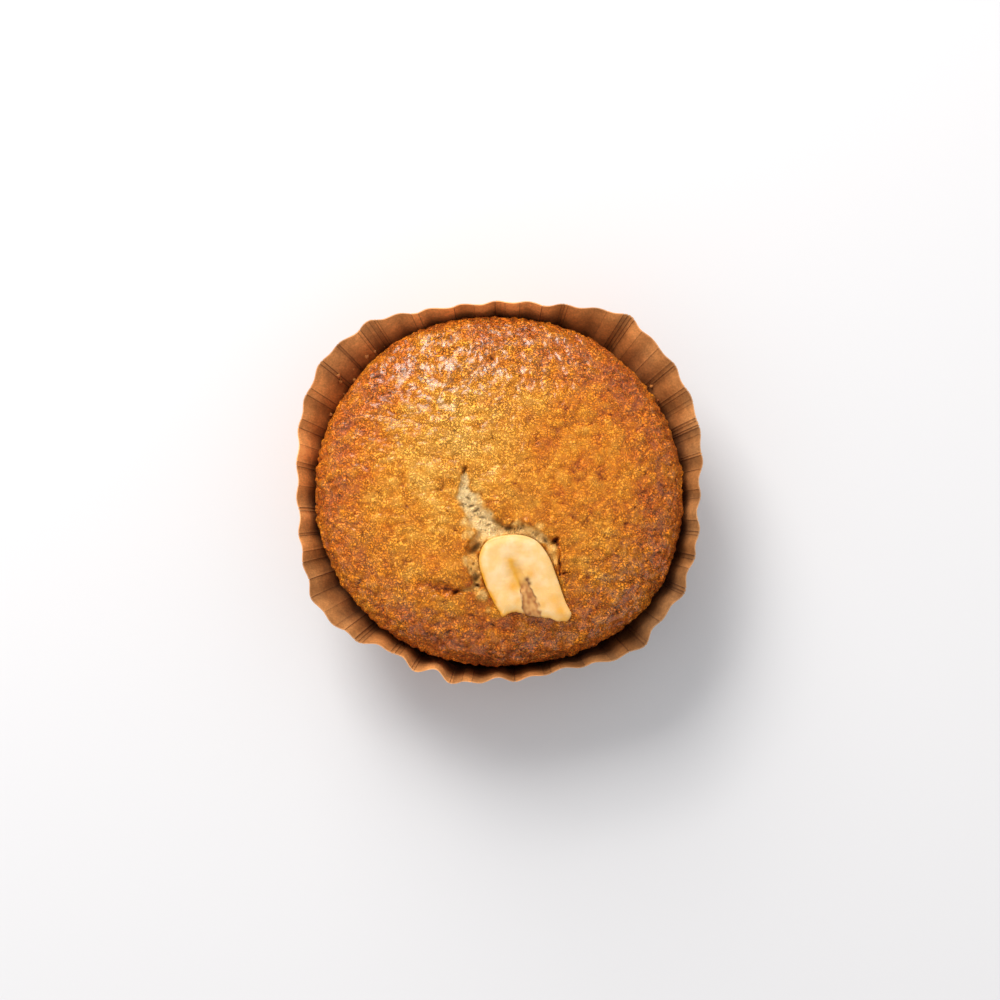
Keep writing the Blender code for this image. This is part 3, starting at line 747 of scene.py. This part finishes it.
def pits(x, y):
    """Small pits scattered over the crust: how dark their painted shade is, from 0 to 1, and how deep."""
    draw = random.Random(PIT_SEED)
    dark = np.zeros_like(x)
    sunk = np.zeros_like(x)
    for _ in range(PIT_COUNT):
        reach, way = PIT_REACH * math.sqrt(draw.random()), draw.uniform(0, 2 * math.pi)
        pit_x, pit_y = reach * math.cos(way), reach * math.sin(way)
        radius = draw.uniform(0.18, 0.38) * MM
        stretch, turn = draw.uniform(1.2, 3.2), draw.gauss(-0.4, 0.7)
        ahead = (x - pit_x) * math.cos(turn) + (y - pit_y) * math.sin(turn)
        aside = (y - pit_y) * math.cos(turn) - (x - pit_x) * math.sin(turn)
        well = np.exp(-(((ahead / stretch) ** 2 + aside**2) / radius**2) ** 1.5)
        dark = np.maximum(dark, well)
        sunk = np.maximum(sunk, 0.9 * radius * well)
    return dark, sunk


def make_cake(material, chip_outline):
    """The cake with its wrinkled crust, its torn crumb, and a plain side and base."""
    share, angle = disc_places(CRUST_GRID)
    shoulder = shoulder_radius(angle)
    radius = shoulder * even_over_dome(share)
    x, y = turned(radius, angle)
    reach = np.minimum(radius / shoulder, 1)
    bulge = np.sqrt(1 - reach**2)
    flat = np.column_stack([x, y, np.zeros_like(x)])
    swell = sum(height * ripple(flat, spacing) for spacing, height in SWELLS)
    swell = swell + spot(x, y, BULGES) + spot(x, y, LUMPS)
    lowered, torn, pale, line = tear(x, y)
    dark, sunk = holes(x, y)
    # The painted shade of holes and thin cracks together.
    dark = np.maximum(dark, 0.75 * line)
    fade = np.clip((1 - reach) / (1 - SWELL_FADE), 0, 1)
    z = SHOULDER_HEIGHT + DOME_RISE * bulge + fade * (swell - lowered - sunk)
    facing = np.column_stack([x / shoulder**2, y / shoulder**2, bulge / DOME_RISE])
    facing /= np.linalg.norm(facing, axis=1)[:, None]
    points = np.column_stack([x, y, z])

    # On the left the skin is drawn out sideways.
    drawn = points * (0.55, 1.15, 1.0)
    level = smooth_step(-30 * MM, -5 * MM, y) * smooth_step(14 * MM, -4 * MM, x) * smooth_step(38 * MM, 22 * MM, y)

    def grained(spacing, seed=0.0):
        return ripple(points + seed, spacing) * (1 - level) + ripple(drawn + seed, spacing) * level

    bent = points + 1.1 * MM * np.column_stack([ripple(points + shift, 3.4 * MM) for shift in (0.6, 0.7, 0.8)])
    lumps = grained(LUMP_SPACING)
    pebbles = 2.6 * np.abs(grained(PEBBLE_SPACING, 0.2)) - 0.6
    wrinkles = 2.6 * np.abs(grained(WRINKLE_SPACING, 0.4)) - 0.6
    creases = smooth_step(0.075, 0.0, np.abs(ripple(bent, CREASE_SPACING)))
    creases = creases * smooth_step(0.0, 0.3, ripple(points + 0.5, 3.6 * MM))
    # The pits' painted shade, and how deep they are.
    speck, dent = pits(x, y)
    rough = 1 + 0.5 * smooth_step(0.5, 0.95, reach)
    skin = PEBBLE_HEIGHT * pebbles + WRINKLE_HEIGHT * wrinkles - CREASE_DEPTH * creases
    skin = MM * (LUMP_HEIGHT * lumps + rough * skin) - dent
    skin = skin + FINE_HEIGHT * MM * grained(FINE_SPACING, 0.7)
    flakes = smooth_step(0.08, 0.0, np.abs(ripple(bent * (1, 1.5, 1), 1.5 * MM)))
    flakes = flakes * smooth_step(0.0, 0.25, ripple(points + 0.9, 1.9 * MM))
    crumb = 0.4 * MM * ripple(points, 1.9 * MM) + 0.3 * MM * ripple(points, 0.95 * MM) - 0.3 * MM * flakes
    height = skin * (1 - torn) + crumb * torn
    points = points + facing * height[:, None]
    beyond = np.maximum(0, outline_distance(chip_outline, x, y) - RECESS_MARGIN)
    seat = chip_underside(x, y) - CLEARANCE + RECESS_WALL_SLOPE * beyond
    points[:, 2] = np.minimum(points[:, 2], seat)

    brown = BROWNING + 0.26 * smooth_step(0.6, 1.0, reach) + spot(x, y, BROWNER)
    marks = {
        "pale": pale,
        # The crust is painted browner down in the crack grooves: painted shade.
        "brown": brown + 0.16 * np.clip(lowered / MM, 0, 1) * (1 - torn),
        # The relief of the skin, also used to paint shade into its dips.
        "relief": 0.4 * lumps + 0.7 * pebbles + 0.5 * wrinkles - 1.3 * creases,
        # Painted shade: in the holes, the thin cracks, the pits, and between the flakes of the torn crumb.
        "deep": np.maximum(np.maximum(dark, 0.7 * speck * (1 - torn)), torn * 0.75 * flakes),
        "coarse": 0.7 + 0.6 * smooth_step(0.55, 1.0, reach) + spot(x, y, COARSER),
    }

    index = np.arange(CRUST_GRID**2).reshape(CRUST_GRID, CRUST_GRID)
    corners = (index[:-1, :-1], index[1:, :-1], index[1:, 1:], index[:-1, 1:])
    faces = [tuple(face) for face in np.column_stack([corner.ravel() for corner in corners]).tolist()]
    rim = np.concatenate([index[:-1, 0], index[-1, :-1], index[:0:-1, -1], index[0, :0:-1]])
    rim_angle = angle[rim]
    sides = []
    for share in SIDE_LEVELS:
        lift = SHOULDER_HEIGHT * share
        wrinkled = smooth_step(0.6 * SHOULDER_HEIGHT, SHOULDER_HEIGHT, lift) * height[rim]
        sides.append((side_radius(rim_angle, lift) + wrinkled, lift))
    floor = PAPER + CLEARANCE
    for turn in (30, 60, 90):
        inset = BASE_ROUND * (1 - math.cos(math.radians(turn)))
        lift = BASE_ROUND * (1 - math.sin(math.radians(turn)))
        sides.append((side_radius(rim_angle, BASE_ROUND) - inset, floor + lift))
    rings = [np.column_stack([*turned(side, rim_angle), np.full_like(side, lift)]) for side, lift in sides]
    total, size = len(points), len(rim)
    points = np.vstack([points, *rings, [[0, 0, floor]]])
    around = rim.tolist()
    faces += [(around[i], total + i, total + (i + 1) % size, around[(i + 1) % size]) for i in range(size)]
    faces += [face[::-1] for face in loft_faces(len(rings), size, total)]
    faces += fan_faces(size, total + (len(rings) - 1) * size, len(points) - 1, flip=True)
    extra = len(points) - total
    marks = {name: np.append(mark, np.full(extra, SIDE_MARKS.get(name, 0.0))) for name, mark in marks.items()}
    return plain_mesh("crusted_cake", points, faces, material, **marks)


def case_columns():
    """Columns of points round the case: direction, turn from crest to valley, reach of each, fold, panel."""
    knots = []
    for (crest, high, valley, low), following in zip(PLEATS, (*PLEATS[1:], PLEATS[0])):
        knots += [(crest, high, low), (valley, following[1], low)]
    first = knots[0]
    knots.append((first[0] + 360, *first[1:]))
    lines = [way + 360 if way < first[0] else way for way in FOLDS]
    draw = random.Random(FOLD_SEED)
    marks = {}
    for start, end in zip(knots, knots[1:]):
        for step in range(COLUMNS_PER_SLOPE):
            way = start[0] + (end[0] - start[0]) * step / COLUMNS_PER_SLOPE
            if all(abs(way - line) > FOLD_MARGIN * FOLD_HALF_WIDTH for line in lines):
                marks[way] = 0.0
    for line in lines:
        marks[line - FOLD_HALF_WIDTH] = marks[line + FOLD_HALF_WIDTH] = 0.0
        marks[line] = draw.uniform(0.45, 1.0)
    ways, highs, lows = np.array(knots).T
    angle = np.array(sorted(marks))
    angle = angle[(angle >= first[0]) & (angle < first[0] + 360)]
    slope = np.searchsorted(ways, angle, side="right") - 1
    turn = (angle - ways[slope]) / (ways[slope + 1] - ways[slope])
    turn = np.where(slope % 2, 1 - turn, turn)
    tones = np.array([draw.uniform(*PANEL_TONES) for _ in lines])
    panel = tones[np.searchsorted(sorted(lines), angle) % len(lines)]
    return angle, turn, highs[slope] * MM, lows[slope] * MM, np.array([marks[way] for way in angle]), panel


def make_plain_case(material):
    """The case before it is pleated: a thin closed shell that carries what the pleats need to know."""
    angle, turn, high, low, fold, panel = case_columns()
    cut_rise = 1 - CUT_EDGE / SLOPE_LENGTH
    walls = [0.0, 0.02, FOOT_SHARE, *np.linspace(2 * FOOT_SHARE, 0.94, WALL_RINGS), cut_rise, 1.0]
    points, rises, cuts, near = [], [], [], []
    for inner in (False, True):
        for rise in reversed(walls) if inner else walls:
            low_down = max(0.0, 1 - rise / FOOT_SHARE)
            radius = paper_radius(angle, rise) - (FOOT_ROUND * low_down**2 + SEEN_PAPER * inner)
            height = paper_height(angle, rise) + PAPER * low_down * inner
            points.append(np.column_stack([*turned(radius, angle), height]))
            rises.append(np.full_like(angle, rise))
            cuts.append(np.full_like(angle, float(rise == 1.0)))
            # Close to the cake, mostly on its inner side, the paper is marked for grease and painted shade.
            close = smooth_step(GREASE_AND_SHADE_REACH, 0.3 * MM, radius - shoulder_radius(angle))
            near.append(close * (1.0 if inner else 0.15))
    size, count = len(angle), len(points)
    points = np.vstack([*points, [[0, 0, 0]], [[0, 0, PAPER]]])
    points[:, :2] += RIM_SHIFT
    faces = loft_faces(count, size, 0)
    faces += fan_faces(size, 0, len(points) - 2, flip=True)
    faces += fan_faces(size, (count - 1) * size, len(points) - 1)
    # The paper is painted darker or lighter by direction: painted shade and painted light.
    marks = {"turn": turn, "high": high, "low": low, "fold": fold, "panel": panel, "painted_light_and_shade": bells(angle, PAINTED_LIGHT_AND_SHADE)}
    marks = {name: np.tile(values, count) for name, values in marks.items()}
    marks |= {"wall": np.ones(count * size)}
    marks |= {name: np.concatenate(values) for name, values in (("rise", rises), ("cut", cuts), ("greasy", near))}
    marks = {name: np.append(values, [0, 0]) for name, values in marks.items()}
    return plain_mesh("pleated_case", points, faces, material, **marks)


def end_tree(nodes, give, geometry, finish):
    """Ends a Geometry Nodes tree with real geometry that has its material."""
    solid = nodes.get("GeometryNodeRealizeInstances", {0: geometry})
    done = nodes.get("GeometryNodeSetMaterial", {"Geometry": solid, "Material": finish})
    nodes.fill(give, {"Geometry": done})
    return nodes.tree


def make_pleating_tree():
    """Raises the pleats and presses the folds into a plain case."""
    takes = {"Geometry": "Geometry", "Foot Depth": FOOT_PLEAT_DEPTH, "Fold Depth": FOLD_DEPTH}
    takes |= {"Waver": 0.25 * MM, "Waver Spacing": 14 * MM, "Paper": "Material"}
    nodes, take, give = new_group("pleat the case", "GeometryNodeTree", takes, {"Geometry": "Geometry"})
    turn, high, low, fold, rise, wall = nodes.carried("turn", "high", "low", "fold", "rise", "wall")
    ridge = nodes.math("COSINE", nodes.times(turn, math.pi))
    at_foot = nodes.times(ridge, nodes.times(take["Foot Depth"], 0.5))
    at_rim = nodes.times_plus(nodes.minus(high, low), nodes.times_plus(ridge, 0.5, 0.5), low)
    pleat = nodes.times_plus(nodes.minus(at_rim, at_foot), rise, at_foot)
    crease = nodes.times(nodes.times(fold, take["Fold Depth"]), rise)
    where = nodes.get("GeometryNodeInputPosition")
    rate = nodes.math("DIVIDE", 1.0, take["Waver Spacing"])
    waver = nodes.get("ShaderNodeTexNoise", {"Vector": where, "Scale": rate, "Detail": 1.0})
    swing = nodes.times(nodes.minus(waver, 0.5), take["Waver"])
    swing = nodes.times(swing, nodes.math("POWER", rise, 3.0))
    out = nodes.math("ADD", nodes.minus(pleat, crease), swing)
    way = nodes.vector("NORMALIZE", nodes.vector("MULTIPLY", where, (1, 1, 0)))
    has_wall = nodes.math("GREATER_THAN", wall, 0.5)
    moves = {"Geometry": take["Geometry"], "Selection": has_wall, "Offset": nodes.scaled(way, out)}
    moved = nodes.get("GeometryNodeSetPosition", moves)
    return end_tree(nodes, give, moved, take["Paper"])


def make_scatter_tree():
    """Scatters lumpy crumbs where the mesh says that they are strewn."""
    takes = {"Geometry": "Geometry", "Crumbs per Square Metre": 110000.0, "Smallest": 0.12 * MM}
    takes |= {"Largest": 0.7 * MM, "Seed": 3, "Crumb": "Material"}
    nodes, take, give = new_group("scatter crumbs", "GeometryNodeTree", takes, {"Geometry": "Geometry"})
    density = nodes.times(*nodes.carried("strewn"), take["Crumbs per Square Metre"])
    sockets = {"Mesh": take["Geometry"], "Density": density, "Seed": take["Seed"]}
    spread = nodes.put("GeometryNodeDistributePointsOnFaces", sockets).outputs
    ball = nodes.get("GeometryNodeMeshIcoSphere", {"Radius": 1.0, "Subdivisions": 3})
    lumps = nodes.get("ShaderNodeTexNoise", {"Scale": 1.6, "Detail": 3.0})
    outward = nodes.get("GeometryNodeInputNormal")
    swollen = nodes.scaled(outward, nodes.times(nodes.minus(lumps, 0.5), 1.6))
    ball = nodes.get("GeometryNodeSetPosition", {"Geometry": ball, "Offset": swollen})
    sockets = {0: (0, 0, 0), 1: (6.28, 6.28, 6.28), "Seed": take["Seed"]}
    turn = nodes.get("FunctionNodeRandomValue", sockets, data_type="FLOAT_VECTOR")
    size = nodes.put("FunctionNodeRandomValue", {"Seed": take["Seed"]}, data_type="FLOAT").outputs[1]
    size = nodes.math("POWER", size, 2.0)
    size = nodes.times_plus(size, nodes.minus(take["Largest"], take["Smallest"]), take["Smallest"])
    lift = nodes.scaled(spread["Normal"], nodes.times(size, 0.7))
    points = nodes.get("GeometryNodeSetPosition", {"Geometry": spread[0], "Offset": lift})
    sockets = {"Points": points, "Instance": ball, "Rotation": turn, "Scale": size}
    strewn = nodes.get("GeometryNodeInstanceOnPoints", sockets)
    return end_tree(nodes, give, strewn, take["Crumb"])


def run_tree(made, tree, **inputs):
    """Runs a Geometry Nodes tree on an object, and keeps the result as the object's plain mesh."""
    modifier = made.modifiers.new(tree.name, "NODES")
    modifier.node_group = tree
    for item in tree.interface.items_tree:
        label = item.name.replace(" ", "_")
        if item.in_out == "INPUT" and label in inputs:
            modifier[item.identifier] = inputs[label]
    evaluated = made.evaluated_get(bpy.context.evaluated_depsgraph_get())
    mesh = bpy.data.meshes.new_from_object(evaluated)
    made.modifiers.clear()
    made.data = mesh
    mesh.shade_smooth()
    return made


def make_case(paper):
    case = make_plain_case(paper)
    case = run_tree(case, make_pleating_tree(), Paper=paper)
    case.data.set_sharp_from_angle(angle=math.radians(SHARP_PAPER))
    return case


def make_crumbs(case, crumb):
    """Crumbs that fell between the cake and its paper, mostly on the left and the upper right."""
    base = case.data.copy()

    def read(what):
        values = np.empty(len(base.vertices) * 3, dtype=np.float32)
        base.vertices.foreach_get(what, values)
        return values.reshape(-1, 3).T

    x, y, z = read("co")
    facing = read("normal")
    inward = (facing[0] * x + facing[1] * y) < 0
    lowest, low, high, highest = CRUMB_HEIGHTS
    strewn = bells(np.degrees(np.arctan2(y, x)) % 360, CRUMBS_LIE) * inward
    strewn = strewn * smooth_step(lowest, low, z) * smooth_step(highest, high, z)
    base.attributes.new("strewn", "FLOAT", "POINT").data.foreach_set("value", strewn.astype(np.float32))
    return run_tree(add_object("loose_crumbs", base), make_scatter_tree(), Crumb=crumb)


def slot_depth(stations, x, y):
    distance, width, depth = along(stations, x, y)
    return depth * np.maximum(0, 1 - (distance / width) ** 2)


def make_chip(material, outline):
    """The banana chip: rings from the middle of its underside, round its edge, to the middle of its top."""
    centre = np.array(CHIP_CENTRE)
    broken = smooth_step(-31.5 * MM, -33 * MM, outline[:, 1])
    flat = np.column_stack([outline, np.zeros(len(outline))])
    chips = np.column_stack([ripple(flat + 0.7, 1.2 * MM), ripple(flat + 0.9, 1.2 * MM)])
    outline = outline + 0.35 * MM * broken[:, None] * chips
    arm = outline - centre
    length = np.linalg.norm(arm, axis=1)[:, None]
    edge = [
        (centre + arm * (1 - CHIP_BEVEL * (1 - math.sin(turn)) / length), CHIP_BEVEL * (1 - math.cos(turn)))
        for turn in map(math.radians, (0, 30, 60, 90))
    ]
    rings = [(centre + arm * share, 0.0) for share in (0.25, 0.5, 0.75, 0.9)] + edge
    rings += [(outline, CHIP_BEVEL + (CHIP_THICKNESS - 2 * CHIP_BEVEL) * share) for share in (0.35, 0.6)]
    rings += [(place, CHIP_THICKNESS - drop) for place, drop in reversed(edge)]
    shares = np.linspace(1, 0, CHIP_RING_COUNT + 1)[1:-1]
    rings += [(centre + (arm * (1 - CHIP_BEVEL / length)) * share, CHIP_THICKNESS) for share in shares]
    points = []
    for place, height in rings:
        x, y = place.T
        z = chip_underside(x, y) + height
        if height > CHIP_THICKNESS / 2:
            spots = np.column_stack([x, y, np.full_like(x, height)])
            z = z - slot_depth(SEED_SLOT, x, y) - slot_depth(CHIP_GROOVE, x, y)
            z = z + 0.14 * MM * ripple(spots, 5 * MM) + 0.05 * MM * ripple(spots, 1.6 * MM)
            z = z - CHIP_ROUNDING * smooth_step(3 * MM, 0, -outline_distance(outline, x, y)) ** 2
        points.append(np.column_stack([x, y, z]))
    low = chip_underside(*centre)
    drop = sum(slot_depth(slot, *centre[:, None]) for slot in (SEED_SLOT, CHIP_GROOVE))
    points = np.vstack([[[*centre, low]], *points, [[*centre, low + CHIP_THICKNESS - drop[0]]]])
    size = len(outline)
    faces = fan_faces(size, 1, 0)
    faces += [face[::-1] for face in loft_faces(len(rings), size, 1)]
    faces += fan_faces(size, 1 + (len(rings) - 1) * size, len(points) - 1, flip=True)

    x, y, z = points.T
    distance, width, _ = along(SEED_SLOT, x, y)
    wander = 0.3 * ripple(points, 1.3 * MM)
    across = distance / width + wander
    lowest = smooth_step(-23.2 * MM, -26.5 * MM, y)
    strands = ripple(np.column_stack([x * 0.97 + y * 0.24, (y * 0.97 - x * 0.24) * 0.45, z * 0]), 0.8 * MM)
    # The strands are painted darker towards the slot's sides: painted shade.
    strands = 0.6 + 0.5 * strands + 0.5 * ripple(points + 0.3, 1.1 * MM) - 0.35 * smooth_step(0.5, 0.95, across)
    # A dark line of painted shade along the slot's edges.
    border = smooth_step(0.2, 0.0, np.abs(across - 0.85)) * lowest
    border = border * smooth_step(0.0, 0.35, 0.2 + ripple(points, 1.8 * MM))
    crook = along(CHIP_GROOVE, x, y)[0] / MM + wander
    toward = 0.5 - (0.7 * (x - CHIP_CENTRE[0]) + 0.5 * (y - CHIP_CENTRE[1])) / (20 * MM)
    rim = smooth_step(1.2 * MM, 0.0, -outline_distance(outline, x, y) + wander * MM) * np.clip(toward, 0.1, 1)
    return plain_mesh(
        "dried_banana",
        points,
        faces,
        material,
        # Toasted edges and places, with painted shade beside the seed slot.
        rim=np.clip(rim + spot(x, y, TOASTED_AND_SHADED), 0, 1),
        # The golden band of painted shade along the groove.
        crook=0.3 * smooth_step(1.0, 0.0, crook) + 0.55 * smooth_step(3.2, 0.0, crook),
        seedy=smooth_step(1.05, 0.7, across) * lowest,
        strands=np.clip(strands, 0, 1),
        # Real dark seeds, and the painted shade along the slot's edges.
        seed=np.clip(spot(x, y, SEEDS) + 0.6 * border, 0, 1),
    )


def make_stage():
    """A plain pale floor, soft light from the far left, and the camera."""
    floor = bpy.data.meshes.new("floor")
    corners = [(x * FLOOR_HALF, y * FLOOR_HALF, -FLOOR_DROP) for x, y in ((-1, -1), (1, -1), (1, 1), (-1, 1))]
    floor.from_pydata(corners, [], [(0, 1, 2, 3)])
    material, nodes, surface = new_material("pale_floor")
    nodes.fill(surface, {"Base Color": (0.62, 0.62, 0.64, 1), "Roughness": 0.6})
    floor.materials.append(material)
    add_object("floor", floor)

    world = bpy.data.worlds.new("soft_room")
    world.use_nodes = True
    background = world.node_tree.nodes["Background"].inputs
    background["Color"].default_value = (1.0, 1.0, 1.0, 1)
    background["Strength"].default_value = ROOM_LIGHT
    bpy.context.scene.world = world
    for name, place, size, power, colour in LIGHTS:
        light = bpy.data.lights.new(name, "AREA")
        light.size = size
        light.energy = power
        light.color = colour
        made = add_object(name, light)
        made.location = place
        made.rotation_euler = (Vector(LIGHTS_AIM) - Vector(place)).to_track_quat("-Z", "Y").to_euler()

    lens = bpy.data.cameras.new("camera")
    lens.lens = CAMERA_LENS
    lens.sensor_width = CAMERA_SENSOR
    camera = add_object("camera", lens)
    tilt = math.radians(CAMERA_ELEVATION)
    away = Vector((0, -math.cos(tilt), math.sin(tilt)))
    camera.location = Vector(CAMERA_AIM) + away * CAMERA_DISTANCE
    camera.rotation_euler = (-away).to_track_quat("-Z", "Y").to_euler()
    bpy.context.scene.camera = camera
    bpy.context.scene.view_settings.view_transform = "Standard"


def main():
    grain = make_grain_group()
    outline = smooth_outline(CHIP_OUTLINE, CHIP_STEPS)
    cake = make_cake(make_crust_material(grain), outline)
    case = make_case(make_paper_material(grain))
    crumbs = make_crumbs(case, make_crumb_material(grain))
    chip = make_chip(make_chip_material(grain), outline)
    for piece, node, finish in (
        (cake, "banana_bread", "crust"),
        (case, "paper_case", "brown_paper"),
        (chip, "banana_chip", "banana_chip"),
    ):
        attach(piece, "root")
        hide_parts(node)
    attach(crumbs, "root")
    make_stage()


main()
